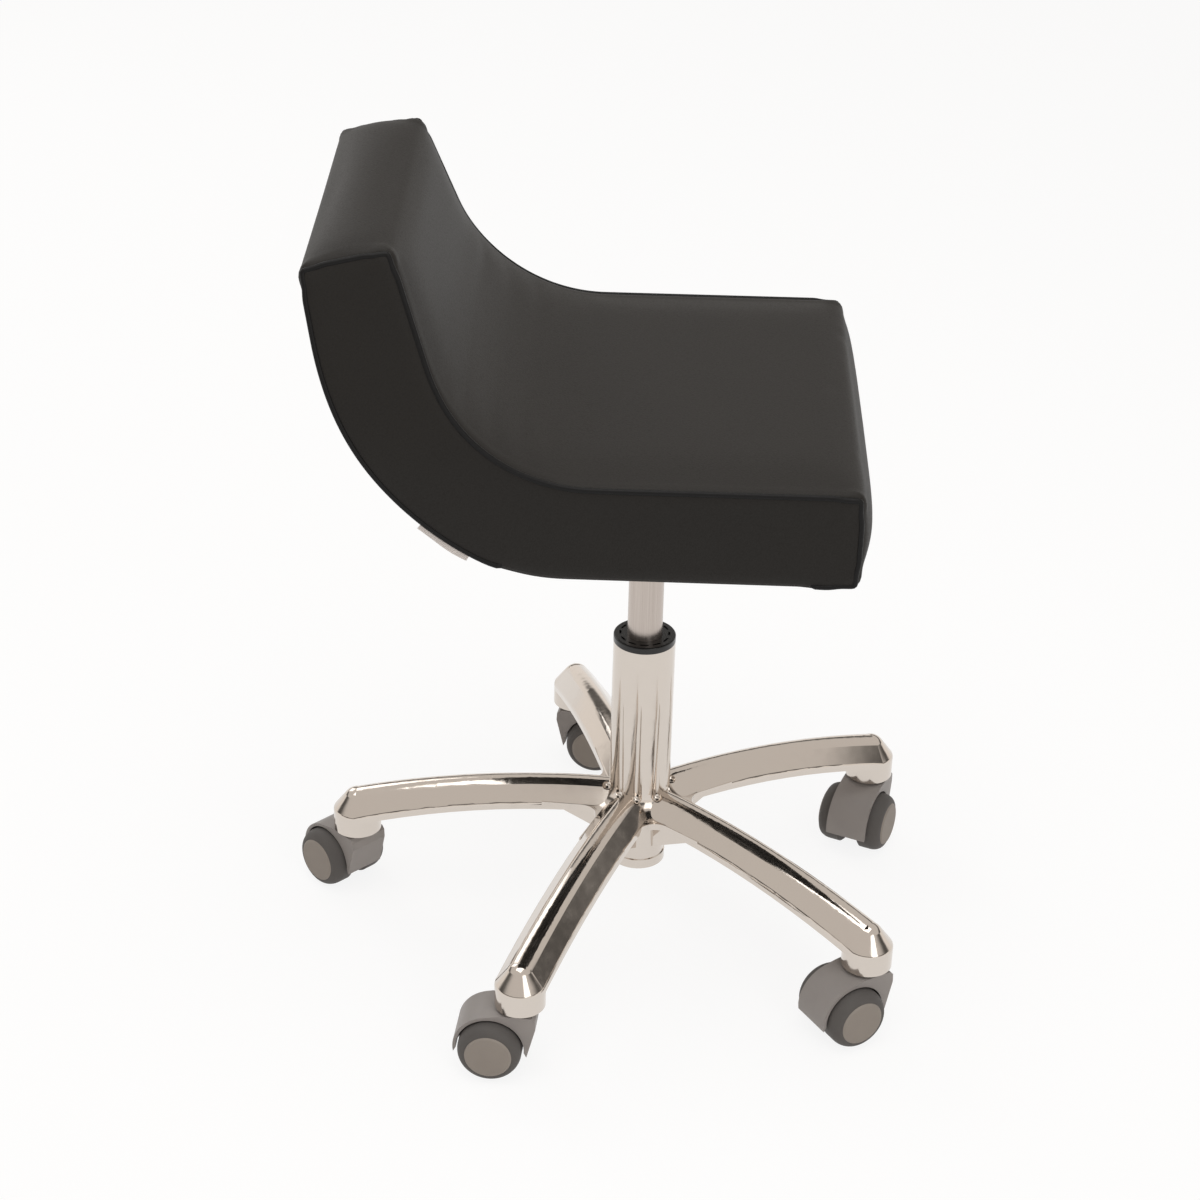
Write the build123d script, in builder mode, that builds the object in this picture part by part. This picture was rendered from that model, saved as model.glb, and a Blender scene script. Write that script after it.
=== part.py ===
from build123d import *
import os
from math import acos, atan2, cos, degrees, hypot, radians, sin, sqrt, tan

# Rolling stylist stool: a five-arm cast base on hooded twin-wheel casters, a gas lift
# inside the base's own column, and a one-piece upholstered seat that turns up into a low back.
# Millimetres, +Z up. The origin is on the floor, on the column's axis. The seat faces -Y.

os.makedirs("parts", exist_ok=True)

# ---------------------------------------------------------------- driving dimensions

# star base
arm_count = 5
first_arm_angle = -57.65          # degrees from +X, seen from above
arm_reach = 236.3                 # column axis to caster stem axis
arm_width = 39.8
arm_tip_height = 37.1             # crest over the boss's underside, at the stem's axis
arm_crest_fall = 27.4             # how far the arch falls from the column to the stem's axis
arm_underside_fall = 31.3
arm_height_at_column = 20.5       # crest to lower edge
arm_level_radius = 35.0           # where the arch starts to fall away
arm_skirt = 5.7                   # upright lower edge of the arm's section
arm_crown_radius = 12.0
arm_shoulder_radius = 4.0
arm_stations = (12.0, 90.0, 165.0)   # sections that the arm is lofted through, before its tip
core_width = 24.0                 # hollow along the underside of each arm
core_roof = 12.0                  # crest to the hollow's ceiling
core_end_wall = 4.0
web_fillet = 14.0                 # hollow corner between neighbouring arms
column_diameter = 50.0
column_wall = 4.0
column_top = 257.7
column_root_blend = 16.0
flute_count = 10
flute_radius = 4.5
flute_depth = 2.2
flute_bottom = 122.0
flute_top = 212.0
hub_diameter = 45.2
hub_bottom = 50.6
hub_band_height = 8.0
hub_band_step = 0.8
hub_floor = 11.0
gusset_thickness = 14.0
gusset_reach = 76.0
gusset_drop = 31.0
gusset_lap = 3.0                  # how far a gusset runs into the hub and the arm

# gas lift
tube_diameter = 28.0
tube_bottom = 152.0
tube_end_wall = 6.0
tube_wall = 2.0
rod_diameter = 10.0
rod_seat_diameter = 8.0
taper_length = 42.0
taper_top_diameter = 26.4
tube_proud = 2.0                  # tube's end above the tray's floor
bush_length = 70.0
bush_flange_height = 5.5
bush_edge_radius = 1.2
bush_slot_count = 12
bush_slot_length = 7.0
bush_slot_width = 1.6
bush_slot_depth = 1.5
race_gap = 4.0                    # radial, races to the column's bore
race_thickness = 3.0
cage_thickness = 5.0
cage_step = 1.0                   # cage's rim inside the races
cage_gap = 0.6                    # radial, cage to rod
buffer_height = 10.0
buffer_step = 3.0                 # races' rim to the buffer's foot, and foot to top
clip_thickness = 1.6
clip_radius = 8.0
clip_groove_depth = 0.8
clip_mouth = 4.0
clip_play = 0.3                   # hub's underside to the clip
rod_end = 4.0                     # how far the rod's end reaches below the hub
piston_height = 12.0
piston_rest = 66.0                # tube's end wall to the piston, at mid stroke
pin_diameter = 8.0
pin_proud = 6.0
pin_play = 0.3                    # pin's top to the lever
pin_edge_radius = 1.6
pin_length_in_tube = 8.0          # below the taper
release_bore_depth = 18.0         # below the taper
tube_edge = 1.0

# seat
seat_width = 356.0
seat_front = 151.0                # column axis to the front face
seat_top = 481.0
seat_underside = 407.0
back_lean = 19.5                  # degrees from upright, front face of the back
back_bend_radius = 127.0
back_top_forward = -188.0         # front edge of the back's top, forward of the axis
back_top_height = 643.0
back_top_rear_height = 629.0
rear_low_radius = 135.0           # two tangent bends under and behind the seat
rear_low_turn = 30.0
rear_high_radius = 235.0
rear_high_turn = 48.0
back_top_inset = 41.0             # each side, at the back's top
back_taper_angle = 17.5
back_taper_bend = 195.0
edge_radius = 6.0
back_top_radius = 9.0
cover_thickness = 1.2
panel_thickness = 3.0
piping_diameter = 4.0
shell_thickness = 12.0
shell_inset = 12.0
shell_front = 128.0
shell_height = 600.0
dust_cover_front = 113.0
dust_cover_rear = -62.0
piping_rear_end = -104.0
label_length = 34.0
label_width = 5.0
label_thickness = 0.8
label_station = -147.0

# seat plate and height lever
plate_thickness = 2.5
plate_length = 190.0
plate_width = 150.0
tray_length = 130.0
tray_width = 80.0
tray_depth = 24.0
tray_corner = 10.0
plate_corner = 12.0
lever_slot_height = 16.0
lever_slot_gap = 3.0
socket_wall = 4.0
bolt_spacing_x = 160.0
bolt_spacing_y = 100.0
bolt_diameter = 6.0
bolt_head_diameter = 12.0
bolt_head_height = 4.0
nut_flange_diameter = 19.0
nut_flange_thickness = 1.5
nut_barrel_diameter = 8.0
nut_barrel_length = 9.0
lever_bar = 7.0
lever_pivot_x = 22.0
lever_eye_diameter = 14.0
lever_pin_diameter = 5.0
lever_drop = 14.0
lever_end_x = 150.0
lever_heel = 5.0                  # bar's end beyond the tube's axis
lever_bend_gap = 8.0              # tray's end wall to the lever's bend
handle_diameter = 15.0
handle_length = 52.0
handle_lap = 12.0                 # how much handle stands past the lever's end
ear_thickness = 2.5
ear_play = 0.3

# casters
caster_trail = 21.0
wheel_diameter = 50.0
caster_width = 58.8
cap_diameter = 37.4
cap_bevel = 1.2
rim_wall = 3.0
recess_depth = 4.0
wheel_hub_radius = 8.0
tyre_shoulder = 11.0
tyre_chamfer = 1.5
hood_width = 35.0
hood_wall = 2.6
hood_rise = 6.4                   # top of the hood over the top of the wheels
hood_front = 14.2                 # stem axis to the front of the hood
hood_tip_drop = 5.5               # tips below the axle
hood_front_drop = 10.0            # where the front starts to slope in
hood_inner_rise = 6.0             # the tips are cut back to a point by this much
stem_gap = 2.1                    # top of the hood to the arm's boss
hood_web = 12.0
axle_diameter = 6.0
axle_boss_wall = 5.0
axle_end_gap = 4.0                # axle's end to the cap's face
stem_diameter = 11.0
stem_length = 22.0
stem_chamfer = 1.5
stem_collar_diameter = 16.0
collar_gap = 0.3                  # collar to the arm's boss
stem_spigot_diameter = 7.6
stem_spigot_length = 17.0
trail_angles = (156.1, -99.4, 45.7, 85.2, 122.1)

# clearances
running_gap = 0.05                # radial, shafts in their bearings
pocket_gap = 1.5                  # wheel to hood
side_gap = 0.5                    # wheel to hood web
bolt_gap = 0.2                    # radial, bolt in its hole

# ---------------------------------------------------------------- shared places

wheel_radius = wheel_diameter / 2
hood_top = wheel_diameter + hood_rise
hood_tip_height = wheel_radius - hood_tip_drop
boss_underside = hood_top + stem_gap
arm_crest_height = boss_underside + arm_tip_height + arm_crest_fall
column_radius = column_diameter / 2
bore_radius = column_radius - column_wall
tube_radius = tube_diameter / 2
rod_radius = rod_diameter / 2
race_radius = bore_radius - race_gap
hub_radius = hub_diameter / 2
floor_top = hub_bottom + hub_floor
side_plane = Plane(origin=(0, 0, 0), x_dir=(0, -1, 0), z_dir=(-1, 0, 0))   # x forward, y up
arm_angles = [first_arm_angle + 360 / arm_count * k for k in range(arm_count)]


def write(piece, name):
    piece.part.label = name
    export_step(piece.part, f"parts/{name}.step")


# ---------------------------------------------------------------- star base


def arch_share(radius):
    """How much of its whole fall the arm's arch has made at a distance from the column's axis."""
    return ((radius - arm_level_radius) / (arm_reach - arm_level_radius)) ** 2


def crest_at(radius):
    return arm_crest_height - arm_crest_fall * arch_share(radius)


def underside_at(radius):
    return arm_crest_height - arm_height_at_column - arm_underside_fall * arch_share(radius)


def flank_point(crest, skirt_top):
    """Where the straight flank touches the crown arc, right-hand side of the arm's section."""
    across = arm_width / 2
    down = skirt_top - (crest - arm_crown_radius)
    reach = hypot(across, down)
    angle = atan2(down, across) + acos(arm_crown_radius / reach)
    return (arm_crown_radius * cos(angle), crest - arm_crown_radius + arm_crown_radius * sin(angle))


with BuildPart() as arm:
    for radius in (*arm_stations, arm_reach):
        crest = crest_at(radius)
        foot = underside_at(radius)
        shoulder = (arm_width / 2, foot + arm_skirt)
        flank = flank_point(crest, shoulder[1])
        with BuildSketch(Plane(origin=(radius, 0, 0), x_dir=(0, 1, 0), z_dir=(1, 0, 0))) as section:
            with BuildLine():
                Polyline((-flank[0], flank[1]), (-shoulder[0], shoulder[1]), (-shoulder[0], foot),
                         (shoulder[0], foot), shoulder, flank)
                ThreePointArc(flank, (0, crest), (-flank[0], flank[1]))
            make_face()
            shoulders = section.vertices().filter_by(lambda v: abs(v.Y - shoulder[1]) < 0.01)
            fillet(shoulders, arm_shoulder_radius)
    loft()
    # rounded end over the caster: the same half section, turned about the stem's axis
    with BuildSketch(Plane.XZ) as end_section:
        with BuildLine():
            tip_flank = (arm_reach + flank[0], flank[1])
            tip_shoulder = (arm_reach + shoulder[0], shoulder[1])
            crown_middle = radians(90 - degrees(atan2(flank[0], flank[1] - crest + arm_crown_radius)) / 2)
            ThreePointArc((arm_reach, crest),
                          (arm_reach + arm_crown_radius * cos(crown_middle),
                           crest - arm_crown_radius + arm_crown_radius * sin(crown_middle)), tip_flank)
            Polyline(tip_flank, tip_shoulder, (arm_reach + shoulder[0], boss_underside),
                     (arm_reach, boss_underside), (arm_reach, crest))
        make_face()
        tip_corner = end_section.vertices().sort_by_distance(tip_shoulder)[0]
        fillet(tip_corner, arm_shoulder_radius)
    revolve(axis=Axis((arm_reach, 0, 0), (0, 0, 1)))


with BuildPart() as star_base:
    # column, hub and the hollow neck between them, all round the axis
    with BuildSketch(Plane.XZ):
        with BuildLine():
            web_top = arm_crest_height - arm_height_at_column + arm_skirt
            neck_foot = (column_radius + column_root_blend, web_top)
            neck_top = (column_radius, web_top + column_root_blend)
            Polyline((0, hub_bottom), (hub_radius, hub_bottom), (hub_radius, hub_bottom + hub_band_height),
                     (hub_radius - hub_band_step, hub_bottom + hub_band_height + hub_band_step),
                     (hub_radius - hub_band_step, web_top - arm_skirt),
                     (neck_foot[0], web_top - arm_skirt), neck_foot)
            RadiusArc(neck_foot, neck_top, column_root_blend)
            Polyline(neck_top, (column_radius, column_top), (0, column_top), (0, hub_bottom))
        make_face()
    revolve(axis=Axis.Z)
    # plate that joins the arms, with a hollow corner between each pair
    with BuildSketch(Plane.XY.offset(web_top - arm_skirt)) as web:
        with PolarLocations(0, arm_count, start_angle=first_arm_angle):
            Rectangle(arm_reach / 3, arm_width, align=(Align.MIN, Align.CENTER))
        fillet(web.vertices().sort_by(SortBy.DISTANCE)[:arm_count], web_fillet)
    extrude(amount=arm_skirt)
    with PolarLocations(0, arm_count, start_angle=first_arm_angle):
        add(arm.part)
    # gussets from the hub up to the underside of each arm
    for angle in arm_angles:
        gusset_plane = Plane((0, 0, 0), x_dir=(cos(radians(angle)), sin(radians(angle)), 0),
                             z_dir=(sin(radians(angle)), -cos(radians(angle)), 0))
        with BuildSketch(gusset_plane):
            with BuildLine():
                inner = hub_radius - gusset_lap
                gusset_top = underside_at(gusset_reach)
                Polyline((inner, gusset_top - gusset_drop), (gusset_reach, gusset_top),
                         (gusset_reach, gusset_top + gusset_lap), (inner, gusset_top + gusset_lap),
                         close=True)
            make_face()
        extrude(amount=gusset_thickness / 2, both=True)
        # the arms are cored from below, past the gussets
        core_start = gusset_reach + gusset_lap
        core_end = arm_reach - arm_width / 2 - core_end_wall
        core_middle = (core_start + core_end) / 2
        with BuildSketch(gusset_plane):
            with BuildLine():
                ThreePointArc((core_start, crest_at(core_start) - core_roof),
                              (core_middle, crest_at(core_middle) - core_roof),
                              (core_end, crest_at(core_end) - core_roof))
                Polyline((core_end, crest_at(core_end) - core_roof), (core_end, boss_underside),
                         (core_start, boss_underside), (core_start, crest_at(core_start) - core_roof))
            make_face()
        extrude(amount=core_width / 2, both=True, mode=Mode.SUBTRACT)
    # flutes that taper out up the column and end in a round at the foot
    for k in range(flute_count):
        angle = radians(first_arm_angle + (k + 0.5) * 360 / flute_count)
        out = (cos(angle), sin(angle))
        top_reach = column_radius + flute_radius
        foot_reach = column_radius + flute_radius - flute_depth
        foot_point = Vector(out[0] * foot_reach, out[1] * foot_reach, flute_bottom)
        top_point = Vector(out[0] * top_reach, out[1] * top_reach, flute_top)
        with BuildSketch(Plane(origin=foot_point, z_dir=top_point - foot_point)):
            Circle(flute_radius)
        extrude(amount=(top_point - foot_point).length, mode=Mode.SUBTRACT)
        with Locations(foot_point):
            Sphere(flute_radius, mode=Mode.SUBTRACT)
    # bore for the gas lift, hole for the piston rod's end, sockets for the caster stems
    with BuildSketch(Plane.XY.offset(floor_top)):
        Circle(bore_radius)
    extrude(amount=column_top - floor_top, mode=Mode.SUBTRACT)
    with BuildSketch(Plane.XY.offset(hub_bottom)):
        Circle(rod_seat_diameter / 2 + running_gap)
    extrude(amount=hub_floor, mode=Mode.SUBTRACT)
    with BuildSketch(Plane.XY.offset(boss_underside)):
        with PolarLocations(arm_reach, arm_count, start_angle=first_arm_angle):
            Circle(stem_diameter / 2 + running_gap)
    extrude(amount=stem_length + 1, mode=Mode.SUBTRACT)
write(star_base, "star_base")

# ---------------------------------------------------------------- gas lift

# guide bush: a long sleeve in the column's bore with a flange on the column's top edge
with BuildPart() as guide_bush:
    with BuildSketch(Plane.XY.offset(column_top)):
        Circle(column_radius)
    extrude(amount=bush_flange_height)
    fillet(guide_bush.faces().sort_by(Axis.Z)[-1].edges(), bush_edge_radius)
    with BuildSketch(Plane.XY.offset(column_top - bush_length)):
        Circle(bore_radius)
    extrude(amount=bush_length)
    with BuildSketch(Plane.XY.offset(column_top - bush_length)):
        Circle(tube_radius + running_gap)
    extrude(amount=bush_length + bush_flange_height, mode=Mode.SUBTRACT)
    with BuildSketch(Plane.XY.offset(column_top + bush_flange_height)):
        with PolarLocations((column_radius + tube_radius) / 2, bush_slot_count):
            SlotOverall(bush_slot_length, bush_slot_width, rotation=90)
    extrude(amount=-bush_slot_depth, mode=Mode.SUBTRACT)
write(guide_bush, "guide_bush")

# thrust bearing on the hub's floor: race, ball cage, race
cage_bottom = floor_top + race_thickness
upper_race_bottom = cage_bottom + cage_thickness
with BuildPart() as lower_race:
    with BuildSketch(Plane.XY.offset(floor_top)):
        Circle(race_radius)
        Circle(rod_radius + 2 * running_gap, mode=Mode.SUBTRACT)
    extrude(amount=race_thickness)
write(lower_race, "thrust_race_lower")

with BuildPart() as ball_cage:
    with BuildSketch(Plane.XY.offset(cage_bottom + running_gap)):
        Circle(race_radius - cage_step)
        Circle(rod_radius + cage_gap, mode=Mode.SUBTRACT)
    extrude(amount=cage_thickness - 2 * running_gap)
write(ball_cage, "thrust_ball_cage")

with BuildPart() as upper_race:
    with BuildSketch(Plane.XY.offset(upper_race_bottom)):
        Circle(race_radius)
        Circle(rod_radius, mode=Mode.SUBTRACT)
    extrude(amount=race_thickness)
write(upper_race, "thrust_race_upper")

buffer_bottom = upper_race_bottom + race_thickness
with BuildPart() as bump_buffer:
    with BuildSketch(Plane.XZ):
        with BuildLine():
            Polyline((rod_radius, buffer_bottom), (race_radius - buffer_step, buffer_bottom),
                     (race_radius - 2 * buffer_step, buffer_bottom + buffer_height),
                     (rod_radius, buffer_bottom + buffer_height), close=True)
        make_face()
    revolve(axis=Axis.Z)
write(bump_buffer, "bump_buffer")

# piston rod: shouldered onto the hub's floor, with its piston inside the pressure tube
piston_radius = tube_radius - tube_wall - running_gap
piston_bottom = tube_bottom + tube_end_wall + piston_rest
rod_groove_top = hub_bottom - clip_play
rod_groove_radius = rod_seat_diameter / 2 - clip_groove_depth
with BuildPart() as piston_rod:
    with BuildSketch(Plane.XZ):
        with BuildLine():
            Polyline((0, hub_bottom - rod_end), (rod_seat_diameter / 2, hub_bottom - rod_end),
                     (rod_seat_diameter / 2, rod_groove_top - clip_thickness),
                     (rod_groove_radius, rod_groove_top - clip_thickness),
                     (rod_groove_radius, rod_groove_top), (rod_seat_diameter / 2, rod_groove_top),
                     (rod_seat_diameter / 2, floor_top),
                     (rod_radius, floor_top + running_gap), (rod_radius, piston_bottom),
                     (piston_radius, piston_bottom), (piston_radius, piston_bottom + piston_height),
                     (0, piston_bottom + piston_height), close=True)
        make_face()
    revolve(axis=Axis.Z)
write(piston_rod, "piston_rod")

with BuildPart() as rod_clip:
    with BuildSketch(Plane.XY.offset(rod_groove_top - clip_thickness)):
        Circle(clip_radius)
        Circle(rod_groove_radius, mode=Mode.SUBTRACT)
        with Locations((clip_radius, 0)):
            Rectangle(2 * clip_radius, clip_mouth, mode=Mode.SUBTRACT)
    extrude(amount=clip_thickness)
write(rod_clip, "rod_retaining_clip")

# pressure tube: open bore for the piston, taper at the top for the seat plate's socket
tray_floor_top = seat_underside - tray_depth
tube_top = tray_floor_top + tube_proud
taper_bottom = tube_top - taper_length
release_bore = pin_diameter / 2 + running_gap
with BuildPart() as pressure_tube:
    with BuildSketch(Plane.XZ):
        with BuildLine():
            Polyline((0, tube_bottom), (tube_radius - tube_edge, tube_bottom),
                     (tube_radius, tube_bottom + tube_edge),
                     (tube_radius, taper_bottom), (taper_top_diameter / 2, tube_top), (0, tube_top),
                     close=True)
        make_face()
    revolve(axis=Axis.Z)
    with BuildSketch(Plane.XY.offset(tube_bottom)):
        Circle(rod_radius + running_gap)
    extrude(amount=tube_end_wall, mode=Mode.SUBTRACT)
    with BuildSketch(Plane.XY.offset(tube_bottom + tube_end_wall)):
        Circle(tube_radius - tube_wall)
    extrude(amount=taper_bottom - release_bore_depth - tube_bottom - tube_end_wall, mode=Mode.SUBTRACT)
    with BuildSketch(Plane.XY.offset(taper_bottom - release_bore_depth)):
        Circle(release_bore)
    extrude(amount=tube_top - taper_bottom + release_bore_depth, mode=Mode.SUBTRACT)
write(pressure_tube, "pressure_tube")

pin_top = tube_top + pin_proud
with BuildPart() as release_pin:
    with BuildSketch(Plane.XY.offset(taper_bottom - pin_length_in_tube)):
        Circle(pin_diameter / 2)
    extrude(amount=pin_top - taper_bottom + pin_length_in_tube)
    fillet(release_pin.faces().sort_by(Axis.Z)[-1].edges(), pin_edge_radius)
write(release_pin, "release_pin")

# ---------------------------------------------------------------- seat plate and lever

lever_height = pin_top + pin_play + lever_bar / 2
ear_gap = lever_bar / 2 + ear_play
with BuildPart() as seat_plate:
    with BuildSketch(Plane.XY.offset(seat_underside - plate_thickness)):
        RectangleRounded(plate_length, plate_width, plate_corner)
        with GridLocations(bolt_spacing_x, bolt_spacing_y, 2, 2):
            Circle(bolt_diameter / 2 + bolt_gap, mode=Mode.SUBTRACT)
    extrude(amount=plate_thickness)
    # pressed tray that carries the lever
    with BuildSketch(Plane.XY.offset(seat_underside - tray_depth - plate_thickness)):
        RectangleRounded(tray_length, tray_width, tray_corner)
    extrude(amount=tray_depth)
    with BuildSketch(Plane.XY.offset(tray_floor_top - plate_thickness)):
        RectangleRounded(tray_length - 2 * plate_thickness, tray_width - 2 * plate_thickness,
                         tray_corner - plate_thickness)
    extrude(amount=tray_depth + plate_thickness, mode=Mode.SUBTRACT)
    # tray floor and tapered socket
    with BuildSketch(Plane.XY.offset(seat_underside - tray_depth - plate_thickness)):
        RectangleRounded(tray_length, tray_width, tray_corner)
    extrude(amount=tray_floor_top - seat_underside + tray_depth + plate_thickness)
    with BuildSketch(Plane.XY.offset(taper_bottom)):
        Circle(tube_radius + socket_wall)
    extrude(amount=tray_floor_top - taper_bottom)
    # ears for the lever's pin
    for side in (-1, 1):
        with BuildSketch(Plane.XZ.offset(side * (ear_gap + ear_thickness / 2))):
            with Locations((lever_pivot_x, (tray_floor_top + lever_height) / 2)):
                Rectangle(lever_eye_diameter, lever_height - tray_floor_top)
            with Locations((lever_pivot_x, lever_height)):
                Circle(lever_eye_diameter / 2 - 1)
        extrude(amount=ear_thickness / 2, both=True)
    with BuildSketch(Plane.XZ):
        with Locations((lever_pivot_x, lever_height)):
            Circle(lever_pin_diameter / 2)
    extrude(amount=tray_width / 2 - 6, both=True, mode=Mode.SUBTRACT)
    with BuildSketch(Plane.XZ):
        with BuildLine():
            Polyline((0, taper_bottom), (tube_radius, taper_bottom), (taper_top_diameter / 2, tube_top),
                     (0, tube_top), close=True)
        make_face()
    revolve(axis=Axis.Z, mode=Mode.SUBTRACT)
    # slot in the tray's end wall for the lever
    with BuildSketch(Plane.YZ.offset(tray_length / 2 - plate_thickness - 1)):
        with Locations((0, seat_underside - plate_thickness - lever_slot_height / 2)):
            Rectangle(lever_bar + lever_slot_gap, lever_slot_height)
    extrude(amount=plate_thickness + tray_corner, mode=Mode.SUBTRACT)
write(seat_plate, "seat_plate")

with BuildPart() as lever_pin:
    with BuildSketch(Plane.XZ.offset(-ear_gap - ear_thickness - 2)):
        with Locations((lever_pivot_x, lever_height)):
            Circle(lever_pin_diameter / 2)
    extrude(amount=2 * (ear_gap + ear_thickness + 2))
write(lever_pin, "lever_pivot_pin")

lever_low = lever_height - lever_drop
with BuildPart() as lever:
    with BuildSketch(Plane.XZ):
        with BuildLine():
            half = lever_bar / 2
            bend = tray_length / 2 + lever_bend_gap
            Polyline((-lever_heel, lever_height - half), (bend, lever_height - half),
                     (bend + lever_drop, lever_low - half), (lever_end_x, lever_low - half),
                     (lever_end_x, lever_low + half), (bend + lever_drop + 2, lever_low + half),
                     (bend + 2, lever_height + half), (-lever_heel, lever_height + half), close=True)
        make_face()
        with Locations((lever_pivot_x, lever_height)):
            Circle(lever_eye_diameter / 2 - 2.5)
            Circle(lever_pin_diameter / 2 + running_gap, mode=Mode.SUBTRACT)
    extrude(amount=lever_bar / 2, both=True)
write(lever, "lever")

with BuildPart() as lever_handle:
    handle_start = lever_end_x - handle_length + handle_lap
    with BuildSketch(Plane.YZ.offset(handle_start)):
        with Locations((0, lever_low)):
            RectangleRounded(handle_diameter * 1.6, handle_diameter * 0.8, 5)
    extrude(amount=handle_length)
    fillet(lever_handle.faces().sort_by(Axis.X)[-1].edges(), 3)
    with BuildSketch(Plane.YZ.offset(handle_start)):
        with Locations((0, lever_low)):
            Rectangle(lever_bar, lever_bar)
    extrude(amount=lever_end_x - handle_start, mode=Mode.SUBTRACT)
write(lever_handle, "lever_handle")

# ---------------------------------------------------------------- upholstered seat

shell_bottom = seat_underside + cover_thickness
shell_top = shell_bottom + shell_thickness
nut_flange_bottom = shell_top
half_width = seat_width / 2
taper_slope = tan(radians(back_taper_angle))
seat_reach = 400.0
taper_start = back_top_height - back_top_inset / taper_slope
taper_run = back_taper_bend * tan(radians(back_taper_angle / 2))


def rear_path(inset, base_start, top):
    """Underside, rear curve and outer face of the back, `inset` inside the skin. Returns its ends."""
    base_height = seat_underside + inset
    base = Line((base_start, base_height), (dust_cover_rear, base_height))
    low = JernArc(base @ 1, (-1, 0), rear_low_radius - inset, -rear_low_turn)
    high = JernArc(low @ 1, low % 1, rear_high_radius - inset, -rear_high_turn)
    rise = (top - (high @ 1).Y) / (high % 1).Y
    outer = Line(high @ 1, (high @ 1) + (high % 1) * rise)
    return base @ 0, outer @ 1


def seat_block(skin, side):
    """The seat's whole J-shaped block, drawn `skin` inside its outline and `side` in from its sides."""
    with BuildPart() as block:
        with BuildSketch(side_plane) as outline:
            with BuildLine():
                bend_reach = back_bend_radius * tan(radians(90 - back_lean) / 2)
                lean_run = (back_top_height - seat_top) * tan(radians(back_lean))
                bend_start = back_top_forward + lean_run + bend_reach
                seat_line = Line((seat_front, seat_top), (bend_start, seat_top))
                bend = JernArc(seat_line @ 1, (-1, 0), back_bend_radius, -(90 - back_lean))
                back_line = Line(bend @ 1, (back_top_forward, back_top_height))
                base_start, rear_top = rear_path(0, seat_front, back_top_rear_height)
                Line(back_line @ 1, rear_top)
                Line(base_start, seat_line @ 0)
            make_face()
            corners = outline.vertices()
            fillet(corners.sort_by_distance((back_top_forward, back_top_height))[0], back_top_radius)
            fillet(outline.vertices().sort_by_distance(rear_top)[0], back_top_radius)
            fillet(outline.vertices().sort_by_distance((seat_front, seat_top))[0], edge_radius)
            fillet(outline.vertices().sort_by_distance((seat_front, seat_underside))[0], edge_radius)
            if skin:
                offset(amount=-skin, mode=Mode.REPLACE)
        extrude(amount=half_width, both=True)
        with BuildSketch(Plane.XZ):
            with BuildLine():
                top_height = back_top_height + 20
                foot = Line((0, seat_underside - 20), (half_width - side, seat_underside - 20))
                upright = Line(foot @ 1, (half_width - side, taper_start - taper_run))
                turn = JernArc(upright @ 1, (0, 1), back_taper_bend, back_taper_angle)
                narrowing = (top_height - (turn @ 1).Y) / (turn % 1).Y
                taper = Line(turn @ 1, (turn @ 1) + (turn % 1) * narrowing)
                Line(taper @ 1, (0, top_height))
                mirror(about=Plane.YZ)
            make_face()
        extrude(amount=seat_reach, both=True, mode=Mode.INTERSECT)
    return block.part


def underside_zone(front, rear, top):
    """A block under the seat between two stations forward of the column's axis."""
    with BuildPart() as zone:
        with Locations((0, -(front + rear) / 2, (seat_underside - 30 + top) / 2)):
            Box(seat_width + 20, front - rear, top - seat_underside + 30)
    return zone.part


full_block = seat_block(0, 0)
core_block = seat_block(0, panel_thickness)
padding_block = seat_block(cover_thickness, panel_thickness)

with BuildPart() as seat_shell:
    with BuildSketch(side_plane):
        with BuildLine():
            shell_ends = rear_path(cover_thickness, shell_front, shell_height)
            inner_ends = rear_path(cover_thickness + shell_thickness, shell_front, shell_height)
            Line(shell_ends[0], inner_ends[0])
            Line(shell_ends[1], inner_ends[1])
        make_face()
    extrude(amount=half_width, both=True)
    add(seat_block(0, shell_inset), mode=Mode.INTERSECT)
    with BuildSketch(Plane.XY.offset(shell_bottom)):
        with GridLocations(bolt_spacing_x, bolt_spacing_y, 2, 2):
            Circle(bolt_diameter / 2 + bolt_gap)
    extrude(amount=shell_thickness, mode=Mode.SUBTRACT)
    with BuildSketch(Plane.XY.offset(shell_top)):
        with GridLocations(bolt_spacing_x, bolt_spacing_y, 2, 2):
            Circle(nut_barrel_diameter / 2)
    extrude(amount=-nut_barrel_length, mode=Mode.SUBTRACT)
write(seat_shell, "seat_shell")

with BuildPart() as tee_nuts:
    with BuildSketch(Plane.XY.offset(shell_top)):
        with GridLocations(bolt_spacing_x, bolt_spacing_y, 2, 2):
            Circle(nut_flange_diameter / 2)
    extrude(amount=nut_flange_thickness)
    with BuildSketch(Plane.XY.offset(shell_top)):
        with GridLocations(bolt_spacing_x, bolt_spacing_y, 2, 2):
            Circle(nut_barrel_diameter / 2)
    extrude(amount=-nut_barrel_length)
    with BuildSketch(Plane.XY.offset(shell_top - nut_barrel_length)):
        with GridLocations(bolt_spacing_x, bolt_spacing_y, 2, 2):
            Circle(bolt_diameter / 2)
    extrude(amount=nut_barrel_length + nut_flange_thickness, mode=Mode.SUBTRACT)
write(tee_nuts, "tee_nuts")

with BuildPart() as plate_bolts:
    with BuildSketch(Plane.XY.offset(seat_underside - plate_thickness)):
        with GridLocations(bolt_spacing_x, bolt_spacing_y, 2, 2):
            Circle(bolt_head_diameter / 2)
    extrude(amount=-bolt_head_height)
    chamfer(plate_bolts.faces().sort_by(Axis.Z)[:4].edges(), 1)
    with BuildSketch(Plane.XY.offset(seat_underside - plate_thickness)):
        with GridLocations(bolt_spacing_x, bolt_spacing_y, 2, 2):
            Circle(bolt_diameter / 2)
    extrude(amount=plate_thickness + cover_thickness + shell_thickness)
write(plate_bolts, "plate_bolts")

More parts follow.
